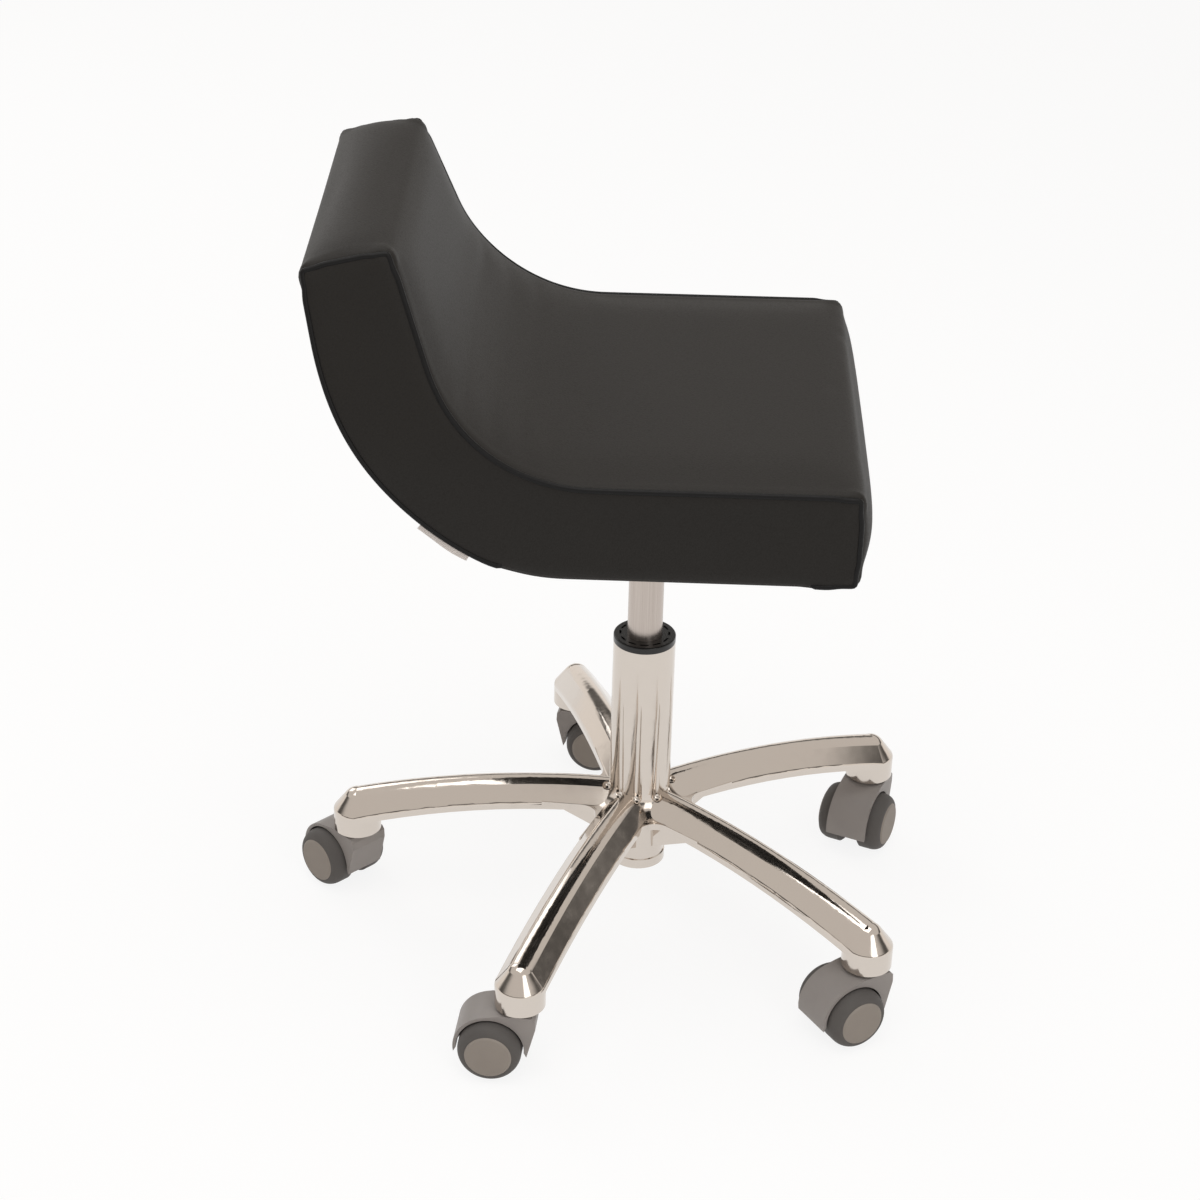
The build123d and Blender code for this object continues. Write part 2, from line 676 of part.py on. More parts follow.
with BuildPart() as seat_foam:
    add(padding_block)
    add(seat_shell.part, mode=Mode.SUBTRACT)
    with BuildSketch(Plane.XY.offset(shell_bottom)):
        with GridLocations(bolt_spacing_x, bolt_spacing_y, 2, 2):
            Circle(nut_flange_diameter / 2)
    extrude(amount=shell_thickness + nut_flange_thickness, mode=Mode.SUBTRACT)
write(seat_foam, "seat_foam")

dust_zone = underside_zone(dust_cover_front, piping_rear_end, seat_underside + 14)
with BuildPart() as seat_cover:
    add(core_block)
    add(padding_block, mode=Mode.SUBTRACT)
    add(dust_zone, mode=Mode.SUBTRACT)
write(seat_cover, "seat_cover")

with BuildPart() as dust_cover:
    add(core_block)
    add(padding_block, mode=Mode.SUBTRACT)
    add(dust_zone, mode=Mode.INTERSECT)
    with BuildSketch(Plane.XY.offset(seat_underside)):
        with GridLocations(bolt_spacing_x, bolt_spacing_y, 2, 2):
            Circle(bolt_diameter / 2 + bolt_gap)
    extrude(amount=cover_thickness, mode=Mode.SUBTRACT)
write(dust_cover, "dust_cover")

piping_zone = underside_zone(dust_cover_front, piping_rear_end, seat_underside + 9)
for side, name in ((-1, "right"), (1, "left")):
    keep = Keep.TOP if side > 0 else Keep.BOTTOM
    with BuildPart() as side_panel:
        add(full_block)
        add(core_block, mode=Mode.SUBTRACT)
        split(bisect_by=Plane.YZ, keep=keep)
    write(side_panel, f"side_panel_{name}")
    with BuildPart() as piping:
        add(seat_block(-piping_diameter / 2, 0))
        add(full_block, mode=Mode.SUBTRACT)
        add(seat_block(-piping_diameter, panel_thickness), mode=Mode.SUBTRACT)
        add(piping_zone, mode=Mode.SUBTRACT)
        split(bisect_by=Plane.YZ, keep=keep)
    write(piping, f"piping_{name}")

with BuildPart() as label:
    add(seat_block(-piping_diameter / 2 - label_width, 1))
    add(seat_block(-piping_diameter / 2, 0), mode=Mode.SUBTRACT)
    add(seat_block(-piping_diameter / 2 - label_width - 1, 1 + label_thickness), mode=Mode.SUBTRACT)
    with Locations((-half_width, -label_station, seat_underside)):
        Box(20, label_length, 180, mode=Mode.INTERSECT)
write(label, "side_label")

# ---------------------------------------------------------------- casters

# The first of each piece is drawn with its stem on the Z axis, trailing towards +X.
hood_radius = wheel_radius + pocket_gap + hood_wall
pocket_radius = wheel_radius + pocket_gap
half_hood = hood_width / 2
half_caster = caster_width / 2
wheel_inner = hood_web / 2 + side_gap
wheel_center = (caster_trail, wheel_radius)
hood_front_height = hood_top - hood_front_drop

with BuildPart() as hood:
    with BuildSketch(Plane.XZ):
        with BuildLine():
            tip_reach = sqrt(hood_radius ** 2 - hood_tip_drop ** 2)
            rear_tip = (caster_trail + tip_reach, hood_tip_height)
            crest_angle = radians(78)
            crest_point = (caster_trail + hood_radius * cos(crest_angle),
                           wheel_radius + hood_radius * sin(crest_angle))
            shoulder_angle = radians(30)
            shoulder_point = (caster_trail + hood_radius * cos(shoulder_angle),
                              wheel_radius + hood_radius * sin(shoulder_angle))
            rear = ThreePointArc(rear_tip, shoulder_point, crest_point)
            brow = Spline(rear @ 1, (stem_collar_diameter / 2, hood_top), tangents=(rear % 1, (-1, 0)))
            top_line = Line(brow @ 1, (-hood_front + 3, hood_top))
            front_tip = (caster_trail - tip_reach, hood_tip_height)
            Polyline(top_line @ 1, (-hood_front + 0.4, hood_top - 3), (-hood_front, hood_front_height),
                     front_tip)
            Line(front_tip, rear_tip)
        make_face()
        with BuildLine():
            Polyline((caster_trail - hood_radius - 2, 0), front_tip,
                     (caster_trail - pocket_radius + 1, hood_tip_height + hood_inner_rise),
                     (caster_trail + pocket_radius - 1, hood_tip_height + hood_inner_rise), rear_tip,
                     (caster_trail + hood_radius + 2, 0), close=True)
        make_face(mode=Mode.SUBTRACT)
    extrude(amount=half_hood, both=True)
    # the wheels' pockets leave a web between them
    pocket_depth = half_hood - hood_web / 2 + 1
    for side in (-1, 1):
        with BuildSketch(Plane.XZ.offset(-side * (hood_web / 2 + pocket_depth / 2))):
            with Locations(wheel_center):
                Circle(pocket_radius)
        extrude(amount=pocket_depth / 2, both=True, mode=Mode.SUBTRACT)
    # web around the axle
    with BuildSketch(Plane.XZ):
        with Locations(wheel_center):
            Circle(axle_diameter / 2 + axle_boss_wall)
    extrude(amount=hood_web / 2, both=True)
    with BuildSketch(Plane.XZ):
        with Locations(wheel_center):
            Circle(axle_diameter / 2)
    extrude(amount=hood_web, both=True, mode=Mode.SUBTRACT)
    with BuildSketch(Plane.XY.offset(hood_top)):
        Circle(stem_spigot_diameter / 2)
    extrude(amount=-stem_spigot_length, mode=Mode.SUBTRACT)

with BuildPart() as stem:
    with BuildSketch(Plane.XZ):
        with BuildLine():
            spigot_radius = stem_spigot_diameter / 2
            collar_radius = stem_collar_diameter / 2
            stem_radius = stem_diameter / 2
            collar_top = boss_underside - collar_gap
            groove = boss_underside + stem_length * 0.6
            stem_top = boss_underside + stem_length
            Polyline((0, hood_top - stem_spigot_length), (spigot_radius, hood_top - stem_spigot_length),
                     (spigot_radius, hood_top), (collar_radius, hood_top), (collar_radius, collar_top),
                     (stem_radius, collar_top), (stem_radius, groove), (stem_radius - 1, groove + 1),
                     (stem_radius - 1, groove + 3), (stem_radius, groove + 4),
                     (stem_radius, stem_top - stem_chamfer), (stem_radius - stem_chamfer, stem_top),
                     (0, stem_top), close=True)
        make_face()
    revolve(axis=Axis.Z)

with BuildPart() as axle:
    with BuildSketch(Plane.XZ):
        with Locations(wheel_center):
            Circle(axle_diameter / 2)
    extrude(amount=half_caster - axle_end_gap, both=True)

# wheel and tyre on the side the Y axis points to, drawn as half sections across the axle
axle_axis = Axis((caster_trail, 0, wheel_radius), (0, 1, 0))
section_plane = Plane((caster_trail, 0, wheel_radius), x_dir=(0, 1, 0), z_dir=(1, 0, 0))
cap_radius = cap_diameter / 2
rim_radius = cap_radius - 0.4
tyre_inner = wheel_inner + 1.5
with BuildPart() as wheel:
    with BuildSketch(section_plane):
        with BuildLine():
            recess_face = wheel_inner + recess_depth
            rim_face = wheel_inner + 1
            Polyline((wheel_inner, 0), (wheel_inner, wheel_hub_radius), (recess_face, wheel_hub_radius),
                     (recess_face, rim_radius - rim_wall), (rim_face, rim_radius - rim_wall),
                     (rim_face, rim_radius), (half_caster - cap_bevel, rim_radius),
                     (half_caster - 0.4, cap_radius - cap_bevel),
                     (half_caster, cap_radius - 2.0), (half_caster, 0), close=True)
        make_face()
    revolve(axis=axle_axis)
    with BuildSketch(Plane.XZ):
        with Locations(wheel_center):
            Circle(axle_diameter / 2 + running_gap)
    extrude(amount=-(half_caster - axle_end_gap + 2 * side_gap), mode=Mode.SUBTRACT)

with BuildPart() as tyre:
    with BuildSketch(section_plane):
        with BuildLine():
            tread_end = half_caster - tyre_shoulder
            EllipticalCenterArc((tread_end, rim_radius), tyre_shoulder - cap_bevel,
                                wheel_radius - rim_radius, start_angle=0, arc_size=90)
            Polyline((tread_end, wheel_radius), (tyre_inner + tyre_chamfer, wheel_radius),
                     (tyre_inner, wheel_radius - tyre_chamfer), (tyre_inner, rim_radius),
                     (half_caster - cap_bevel, rim_radius))
        make_face()
    revolve(axis=axle_axis)

for k, (arm_angle, trail_angle) in enumerate(zip(arm_angles, trail_angles), start=1):
    place = Plane((arm_reach * cos(radians(arm_angle)), arm_reach * sin(radians(arm_angle)), 0),
                  x_dir=(cos(radians(trail_angle)), sin(radians(trail_angle)), 0), z_dir=(0, 0, 1))
    for source, name in ((hood, "hood"), (stem, "stem"), (axle, "axle")):
        with BuildPart() as piece:
            with Locations(place):
                add(source.part)
        write(piece, f"caster_{k}_{name}")
    for source, name in ((wheel, "wheel"), (tyre, "tyre")):
        with BuildPart() as piece:
            with Locations(place):
                add(source.part)
        write(piece, f"caster_{k}_{name}_a")
        with BuildPart() as piece:
            with Locations(place):
                add(mirror(source.part, about=Plane.XZ, mode=Mode.PRIVATE))
        write(piece, f"caster_{k}_{name}_b")
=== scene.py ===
from math import cos, exp, pi, radians, sin, sqrt, tan, tanh

import bmesh
import bpy
from mathutils import Matrix, Vector
from mathutils.bvhtree import BVHTree


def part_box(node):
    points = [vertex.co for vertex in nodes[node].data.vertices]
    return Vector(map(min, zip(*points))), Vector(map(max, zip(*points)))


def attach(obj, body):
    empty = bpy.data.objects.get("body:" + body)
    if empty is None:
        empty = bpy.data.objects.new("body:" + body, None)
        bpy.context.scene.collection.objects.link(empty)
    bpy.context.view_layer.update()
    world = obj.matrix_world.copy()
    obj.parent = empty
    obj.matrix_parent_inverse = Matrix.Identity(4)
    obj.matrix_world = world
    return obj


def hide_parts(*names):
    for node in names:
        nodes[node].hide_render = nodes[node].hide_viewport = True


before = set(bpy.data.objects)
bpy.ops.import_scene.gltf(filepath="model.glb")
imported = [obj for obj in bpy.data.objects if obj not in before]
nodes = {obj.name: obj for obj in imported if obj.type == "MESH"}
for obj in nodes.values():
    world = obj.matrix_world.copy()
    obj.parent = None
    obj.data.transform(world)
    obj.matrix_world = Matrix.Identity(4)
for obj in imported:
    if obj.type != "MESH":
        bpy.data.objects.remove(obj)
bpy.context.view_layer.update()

# A rolling stylist stool: a cast star base on five hooded casters, a gas lift in the base's
# column, and an upholstered seat that turns up into a low back. Metres, +Z up, seat facing -Y.

# ---------------------------------------------------------------- studio
# A photographer's white sweep: a pale matt floor that keeps a soft shadow, a large softbox
# overhead, a long one on each side, and the bright, banded surroundings that polished metal shows.


def linear(hex_colour):
    """An sRGB hex colour as the linear RGBA that Blender's sockets take."""
    channels = [int(hex_colour[k:k + 2], 16) / 255 for k in (1, 3, 5)]
    return [c / 12.92 if c <= 0.04045 else ((c + 0.055) / 1.055) ** 2.4 for c in channels] + [1]


def add_node(tree, kind, settings=None, **inputs):
    """Adds a node. An input that is a socket is linked, any other value is set."""
    node = tree.nodes.new(kind)
    for name, value in (settings or {}).items():
        setattr(node, name, value)
    for name, value in inputs.items():
        socket = node.inputs[int(name[1:])] if name[1:].isdigit() else node.inputs[name.replace("_", " ")]
        if isinstance(value, bpy.types.NodeSocket):
            tree.links.new(value, socket)
        else:
            socket.default_value = value
    return node


camera_data = bpy.data.cameras.new("camera")
camera_data.lens = 85.2
camera_data.shift_x = 0.0822
camera_data.shift_y = -0.0197
camera = bpy.data.objects.new("camera", camera_data)
bpy.context.scene.collection.objects.link(camera)
camera.matrix_world = (Matrix.Translation((-1.9723, 0.0138, 1.4018))
                       @ Matrix.Rotation(radians(2.947 - 90), 4, "Z")
                       @ Matrix.Rotation(radians(90 - 28.918), 4, "X")
                       @ Matrix.Rotation(radians(0.434), 4, "Z"))
bpy.context.scene.camera = camera
bpy.context.scene.view_settings.view_transform = "Standard"

softboxes = {
    "overhead_softbox": ((-0.3, 0.2, 2.3), 1.6, 1.6, 16),
    "near_softbox": ((-2.2, -1.4, 1.5), 1.2, 1.6, 10),
    "far_softbox": ((1.9, 1.6, 1.7), 1.2, 1.6, 9),
}
for name, (place, width, height, watts) in softboxes.items():
    lamp = bpy.data.lights.new(name, "AREA")
    lamp.shape = "RECTANGLE"
    lamp.size = width
    lamp.size_y = height
    lamp.energy = watts
    softbox = bpy.data.objects.new(name, lamp)
    softbox.location = place
    softbox.rotation_euler = (Vector((0, 0, 0.3)) - Vector(place)).to_track_quat("-Z", "Y").to_euler()
    bpy.context.scene.collection.objects.link(softbox)

floor_mesh = bmesh.new()
bmesh.ops.create_grid(floor_mesh, x_segments=1, y_segments=1, size=8)
floor = bpy.data.objects.new("studio_floor", bpy.data.meshes.new("studio_floor"))
floor_mesh.to_mesh(floor.data)
bpy.context.scene.collection.objects.link(floor)

floor_paint = bpy.data.materials.new("matt_white_sweep")
floor_paint.use_nodes = True
tree = floor_paint.node_tree
tree.nodes.clear()
path = add_node(tree, "ShaderNodeLightPath")
seen = add_node(tree, "ShaderNodeMath", {"operation": "MAXIMUM"},
                _0=path.outputs["Is Camera Ray"], _1=path.outputs["Is Glossy Ray"])
share = add_node(tree, "ShaderNodeMath", {"operation": "MULTIPLY"}, _0=seen.outputs[0], _1=0.82)
matt = add_node(tree, "ShaderNodeBsdfDiffuse", Color=linear("#f6f3f0"))
glow = add_node(tree, "ShaderNodeEmission", Color=linear("#ffffff"), Strength=1.06)
mixed = add_node(tree, "ShaderNodeMixShader", _0=share.outputs[0], _1=matt.outputs[0], _2=glow.outputs[0])
add_node(tree, "ShaderNodeOutputMaterial", Surface=mixed.outputs[0])
floor.data.materials.append(floor_paint)

# The light that falls on things is even. What metal mirrors has a narrow dark band above the sweep.
world = bpy.data.worlds.new("white_studio")
bpy.context.scene.world = world
world.use_nodes = True
tree = world.node_tree
tree.nodes.clear()
direction = add_node(tree, "ShaderNodeTexCoord")
axes = add_node(tree, "ShaderNodeSeparateXYZ", Vector=direction.outputs["Generated"])
band_in = add_node(tree, "ShaderNodeMapRange", {"interpolation_type": "SMOOTHSTEP"},
                   Value=axes.outputs["Z"], From_Min=0.16, From_Max=0.25, To_Min=1.0, To_Max=0.12)
band_out = add_node(tree, "ShaderNodeMapRange", {"interpolation_type": "SMOOTHSTEP"},
                    Value=axes.outputs["Z"], From_Min=0.33, From_Max=0.50, To_Min=0.0, To_Max=0.62)
banded = add_node(tree, "ShaderNodeMath", {"operation": "ADD"}, _0=band_in.outputs[0], _1=band_out.outputs[0])
path = add_node(tree, "ShaderNodeLightPath")
even = add_node(tree, "ShaderNodeMix", {"data_type": "FLOAT"},
                _0=path.outputs["Is Glossy Ray"], _2=0.40, _3=banded.outputs[0])
level = add_node(tree, "ShaderNodeMath", {"operation": "MAXIMUM"},
                 _0=even.outputs[0], _1=path.outputs["Is Camera Ray"])
sky = add_node(tree, "ShaderNodeBackground", Color=linear("#fffaf5"), Strength=level.outputs[0])
add_node(tree, "ShaderNodeOutputWorld", Surface=sky.outputs[0])

# ---------------------------------------------------------------- star base
# One aluminium casting, fettled, ground and buffed to a near mirror. Buffing leaves the faces
# slightly wavy and the polish a little uneven, so reflections swim along the arms.


def new_material(name, **settings):
    """A material and its Principled shader, with the shader's own sockets set."""
    material = bpy.data.materials.new(name)
    material.use_nodes = True
    shader = material.node_tree.nodes["Principled BSDF"]
    for socket, value in settings.items():
        shader.inputs[socket.replace("_", " ")].default_value = value
    return material, material.node_tree, shader


def finish_node(node_name, material):
    """Gives a carried-over CAD node its material."""
    nodes[node_name].data.materials.clear()
    nodes[node_name].data.materials.append(material)


polished, tree, shader = new_material("buffed_cast_aluminium", Metallic=1.0,
                                      Base_Color=linear("#d3cac1"))
place = add_node(tree, "ShaderNodeTexCoord")
wave = add_node(tree, "ShaderNodeTexNoise", Vector=place.outputs["Object"], Scale=1 / 0.022, Detail=1.0)
polish = add_node(tree, "ShaderNodeTexNoise", Vector=place.outputs["Object"], Scale=1 / 0.009, Detail=4.0)
roughness = add_node(tree, "ShaderNodeMapRange", Value=polish.outputs["Fac"],
                     From_Min=0.3, From_Max=0.75, To_Min=0.07, To_Max=0.17)
tree.links.new(roughness.outputs[0], shader.inputs["Roughness"])
bump = add_node(tree, "ShaderNodeBump", Height=wave.outputs["Fac"], Strength=0.35, Distance=0.0004)
tree.links.new(bump.outputs["Normal"], shader.inputs["Normal"])
finish_node("star_base", polished)

# ---------------------------------------------------------------- gas lift
# A satin-chromed pressure tube that rises out of the column through a black acetal bush.
# Tube drawing and brushing leave fine lines along its length, which stretch every highlight.
chrome, tree, shader = new_material("brushed_satin_chrome", Metallic=1.0)
place = add_node(tree, "ShaderNodeTexCoord")
stretch = add_node(tree, "ShaderNodeMapping", Vector=place.outputs["Object"],
                   Scale=(1 / 0.0006, 1 / 0.0006, 1 / 0.09))
lines = add_node(tree, "ShaderNodeTexNoise", Vector=stretch.outputs[0], Scale=1.0, Detail=3.0)
tone = add_node(tree, "ShaderNodeMix", {"data_type": "RGBA"}, _0=lines.outputs["Fac"],
                _6=linear("#aba098"), _7=linear("#d6ccc4"))
tree.links.new(tone.outputs[2], shader.inputs["Base Color"])
roughness = add_node(tree, "ShaderNodeMapRange", Value=lines.outputs["Fac"], To_Min=0.22, To_Max=0.38)
tree.links.new(roughness.outputs[0], shader.inputs["Roughness"])
bump = add_node(tree, "ShaderNodeBump", Height=lines.outputs["Fac"], Strength=0.25, Distance=0.0001)
tree.links.new(bump.outputs["Normal"], shader.inputs["Normal"])
finish_node("pressure_tube", chrome)

acetal, tree, shader = new_material("turned_black_acetal", Base_Color=linear("#1b1a1a"), IOR=1.48)
place = add_node(tree, "ShaderNodeTexCoord")
turning = add_node(tree, "ShaderNodeTexWave", {"wave_type": "RINGS", "rings_direction": "Z"},
                   Vector=place.outputs["Object"], Scale=1 / 0.004, Distortion=0.6, Detail=2.0)
roughness = add_node(tree, "ShaderNodeMapRange", Value=turning.outputs["Fac"], To_Min=0.22, To_Max=0.34)
tree.links.new(roughness.outputs[0], shader.inputs["Roughness"])
bump = add_node(tree, "ShaderNodeBump", Height=turning.outputs["Fac"], Strength=0.15, Distance=0.0001)
tree.links.new(bump.outputs["Normal"], shader.inputs["Normal"])
for name in ("guide_bush", "thrust_ball_cage"):
    finish_node(name, acetal)

# ---------------------------------------------------------------- bearing, rod and release pin
# Ground bearing steel for the rod, races, clip and pin, and a moulded rubber buffer under the tube.
ground_steel, tree, shader = new_material("ground_bearing_steel", Metallic=1.0)
place = add_node(tree, "ShaderNodeTexCoord")
grinding = add_node(tree, "ShaderNodeTexNoise", Vector=place.outputs["Object"], Scale=1 / 0.0012, Detail=5.0)
tone = add_node(tree, "ShaderNodeMix", {"data_type": "RGBA"}, _0=grinding.outputs["Fac"],
                _6=linear("#9d9a97"), _7=linear("#c9c6c2"))
tree.links.new(tone.outputs[2], shader.inputs["Base Color"])
roughness = add_node(tree, "ShaderNodeMapRange", Value=grinding.outputs["Fac"], To_Min=0.2, To_Max=0.4)
tree.links.new(roughness.outputs[0], shader.inputs["Roughness"])
steel_nodes = ["piston_rod", "thrust_race_lower", "thrust_race_upper", "rod_retaining_clip", "release_pin",
               "lever_pivot_pin", "plate_bolts", "tee_nuts"]
for name in steel_nodes:
    finish_node(name, ground_steel)

rubber, tree, shader = new_material("moulded_buffer_rubber", Roughness=0.75)
place = add_node(tree, "ShaderNodeTexCoord")
bloom = add_node(tree, "ShaderNodeTexNoise", Vector=place.outputs["Object"], Scale=1 / 0.003, Detail=4.0)
tone = add_node(tree, "ShaderNodeMix", {"data_type": "RGBA"}, _0=bloom.outputs["Fac"],
                _6=linear("#171615"), _7=linear("#2b2928"))
tree.links.new(tone.outputs[2], shader.inputs["Base Color"])
finish_node("bump_buffer", rubber)

# ---------------------------------------------------------------- seat plate and height lever
# Pressed steel plate and bent bar lever in black powder coat, which has a fine orange-peel skin,
# with a push-on grip of black polypropylene.
powder, tree, shader = new_material("black_powder_coat", Base_Color=linear("#201f1f"), Roughness=0.42)
place = add_node(tree, "ShaderNodeTexCoord")
peel = add_node(tree, "ShaderNodeTexNoise", Vector=place.outputs["Object"], Scale=1 / 0.0011, Detail=2.0)
bump = add_node(tree, "ShaderNodeBump", Height=peel.outputs["Fac"], Strength=0.3, Distance=0.0002)
tree.links.new(bump.outputs["Normal"], shader.inputs["Normal"])
finish_node("seat_plate", powder)
finish_node("lever", powder)

grip, tree, shader = new_material("moulded_black_polypropylene", Base_Color=linear("#1c1b1b"))
place = add_node(tree, "ShaderNodeTexCoord")
grain = add_node(tree, "ShaderNodeTexNoise", Vector=place.outputs["Object"], Scale=1 / 0.0009, Detail=3.0)
roughness = add_node(tree, "ShaderNodeMapRange", Value=grain.outputs["Fac"], To_Min=0.38, To_Max=0.55)
tree.links.new(roughness.outputs[0], shader.inputs["Roughness"])
bump = add_node(tree, "ShaderNodeBump", Height=grain.outputs["Fac"], Strength=0.3, Distance=0.0001)
tree.links.new(bump.outputs["Normal"], shader.inputs["Normal"])
finish_node("lever_handle", grip)

# ---------------------------------------------------------------- plywood shell and foam
# The seat's core is pressed beech plywood with T-nuts, and a block of open-cell foam is glued
# over it. Both are hidden by the cover.
beech, tree, shader = new_material("pressed_beech_plywood", Roughness=0.6)
place = add_node(tree, "ShaderNodeTexCoord")
stretch = add_node(tree, "ShaderNodeMapping", Vector=place.outputs["Object"],
                   Scale=(1 / 0.18, 1 / 0.006, 1 / 0.0015))
figure = add_node(tree, "ShaderNodeTexNoise", Vector=stretch.outputs[0],
                  Scale=1.0, Detail=5.0, Distortion=0.4)
tone = add_node(tree, "ShaderNodeMix", {"data_type": "RGBA"}, _0=figure.outputs["Fac"],
                _6=linear("#b98d5f"), _7=linear("#dcb98c"))
tree.links.new(tone.outputs[2], shader.inputs["Base Color"])
finish_node("seat_shell", beech)

foam, tree, shader = new_material("open_cell_polyurethane_foam", Roughness=0.95)
place = add_node(tree, "ShaderNodeTexCoord")
cells = add_node(tree, "ShaderNodeTexVoronoi", Vector=place.outputs["Object"], Scale=1 / 0.0014)
tone = add_node(tree, "ShaderNodeMix", {"data_type": "RGBA"}, _0=cells.outputs["Distance"],
                _6=linear("#8f8a80"), _7=linear("#c9c3b6"))
tree.links.new(tone.outputs[2], shader.inputs["Base Color"])
bump = add_node(tree, "ShaderNodeBump", Height=cells.outputs["Distance"], Strength=0.6, Distance=0.0006)
tree.links.new(bump.outputs["Normal"], shader.inputs["Normal"])
finish_node("seat_foam", foam)

# ---------------------------------------------------------------- seat cushion
# Contract vinyl sewn to the side panels and drawn tight over the foam. Its edges are held at the
# piped seams, so it swells between them: most over the front edge and the top of the back.
seat_front = -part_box("seat_cover")[0].y          # forward of the column's axis
seat_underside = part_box("seat_cover")[0].z
seat_top = 0.481
seat_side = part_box("side_panel_left")[1].x
panel_inset = 0.0027                              # cushion's own side inside the panel's face
back_bend_start = -0.0409
back_bend_radius = 0.127
back_bend_turn = radians(70.5)
back_length = 0.0821
dust_cover_rear = -0.062
rear_bends = ((0.135, radians(30)), (0.235, radians(48)))
rear_length = 0.0504
outer_at_back = 0.440                             # along the underside, where the back straightens
taper_bottom = 0.483
taper_radius = 0.195
taper_angle = radians(17.5)
cells_across, cells_through, cells_along = 48, 11, 71
seat_share, bend_share = 28, 30                   # of the cells along


def point_on(pieces, start, distance):
    """The point (forward, up) at a distance along tangent runs and arcs, given as (length, turn)."""
    place, heading = Vector(start), pi
    for length, turn in pieces:
        step = min(distance, length)
        angle = turn * step / length
        chord = step if abs(angle) < 1e-6 else 2 * length / turn * sin(angle / 2)
        place += chord * Vector((cos(heading + angle / 2), sin(heading + angle / 2)))
        heading += angle
        distance -= step
    return place


seat_length = seat_front - back_bend_start
inner_pieces = [(seat_length, 0), (back_bend_radius * back_bend_turn, -back_bend_turn), (back_length, 0)]
outer_pieces = [(seat_front - dust_cover_rear, 0)]
outer_pieces += [(radius * turn, -turn) for radius, turn in rear_bends]
outer_pieces += [(rear_length, 0)]
inner_stops = [0, seat_length, seat_length + inner_pieces[1][0], sum(run[0] for run in inner_pieces)]
outer_stops = [0, seat_length, outer_at_back, sum(run[0] for run in outer_pieces)]
cell_stops = [0, seat_share, seat_share + bend_share, cells_along]


def between(value, starts, ends):
    """Carries a value from one list of stops to another, in proportion within each stretch."""
    for k in range(len(starts) - 1):
        if value <= starts[k + 1] or k == len(starts) - 2:
            share = (value - starts[k]) / (starts[k + 1] - starts[k])
            return ends[k] + share * (ends[k + 1] - ends[k])


def side_at(height):
    """Half the seat's width at a height: upright, then an arc, then the back's straight taper."""
    rise = height - taper_bottom
    arc_rise = taper_radius * sin(taper_angle)
    if rise <= 0:
        return seat_side
    if rise <= arc_rise:
        return seat_side - taper_radius + sqrt(taper_radius ** 2 - rise ** 2)
    return seat_side - taper_radius * (1 - cos(taper_angle)) - (rise - arc_rise) * tan(taper_angle)


def seat_place(across, through, along):
    """From the unit block to the seat: across -1..1, through 0 (sat on) to 1, along 0..cells_along."""
    inner = point_on(inner_pieces, (seat_front, seat_top), between(along, cell_stops, inner_stops))
    outer = point_on(outer_pieces, (seat_front, seat_underside), between(along, cell_stops, outer_stops))
    forward, height = inner.lerp(outer, through)
    return Vector((across * (side_at(height) - panel_inset), -forward, height))


block = bmesh.new()
bmesh.ops.create_cube(block, size=1)
bmesh.ops.translate(block, verts=block.verts, vec=(0, 0.5, 0.5))
for axis, cells in enumerate((cells_across, cells_through, cells_along)):
    edges = [e for e in block.edges if abs(e.verts[0].co[axis] - e.verts[1].co[axis]) > 1e-4]
    bmesh.ops.subdivide_edges(block, edges=edges, cuts=cells - 1, use_grid_fill=True)
block.verts.ensure_lookup_table()
across = [2 * v.co.x for v in block.verts]
through = [v.co.y for v in block.verts]
along = [v.co.z * cells_along for v in block.verts]
edge_crowding = 0.35                              # draws the cells together towards the seams
for v, u, t, s in zip(block.verts, across, through, along):
    v.co = seat_place((1 + edge_crowding) * u - edge_crowding * u ** 3, t, s)
bmesh.ops.recalc_face_normals(block, faces=block.faces)

# The front and top edges are rounded a little at the seams.
corner_reach = 2.2                                # cells


def at_corners(reach, inside):
    """The points within a reach, in cells, of the front and top edges, and inside a share of the width."""
    return [v for v, u, t, s in zip(block.verts, across, through, along)
            if min(s, cells_along - s) < reach and min(t, 1 - t) * cells_through < reach and abs(u) < inside]


for _ in range(2):
    bmesh.ops.smooth_vert(block, verts=at_corners(corner_reach, 1.01), factor=0.5,
                          use_axis_x=False, use_axis_y=True, use_axis_z=True)

# The padding stands proud of the seams: it rises steeply beside the piping and is then level.
front_crown, seat_crown, back_crown, top_crown, rear_crown = 0.0095, 0.0037, 0.0045, 0.0080, 0.0050
crown_reach = 0.009
bend_low, bend_high = 0.49, 0.56                  # heights between which the seat becomes the back


def ease(value, low, high):
    """0 below low, 1 above high, smooth between."""
    share = min(max((value - low) / (high - low), 0), 1)
    return share * share * (3 - 2 * share)


def crown_at(v, t, s):
    """How far the padding stands out at a point of the cover."""
    belly = (0.55 + 0.45 * sin(pi * t)) * (1 - 0.5 * ease(t, 0.9, 1))
    if s < 0.001:
        return front_crown * belly
    if s > cells_along - 0.001:
        return top_crown * belly
    if t < 0.001:
        return seat_crown + (back_crown - seat_crown) * ease(v.co.z, bend_low, bend_high)
    return rear_crown * ease(-v.normal.z, 0.9, 0.55) if t > 0.999 else 0


block.normal_update()
crowns = []
for v, u, t, s in zip(block.verts, across, through, along):
    from_seam = max(side_at(v.co.z) - panel_inset - abs(v.co.x), 0)
    walled = min(t, 1 - t) < 0.001 or min(s, cells_along - s) < 0.001
    crowns.append(v.normal * crown_at(v, t, s) * (1 - exp(-from_seam / crown_reach)) if walled else Vector())
for v, crown in zip(block.verts, crowns):
    v.co += crown

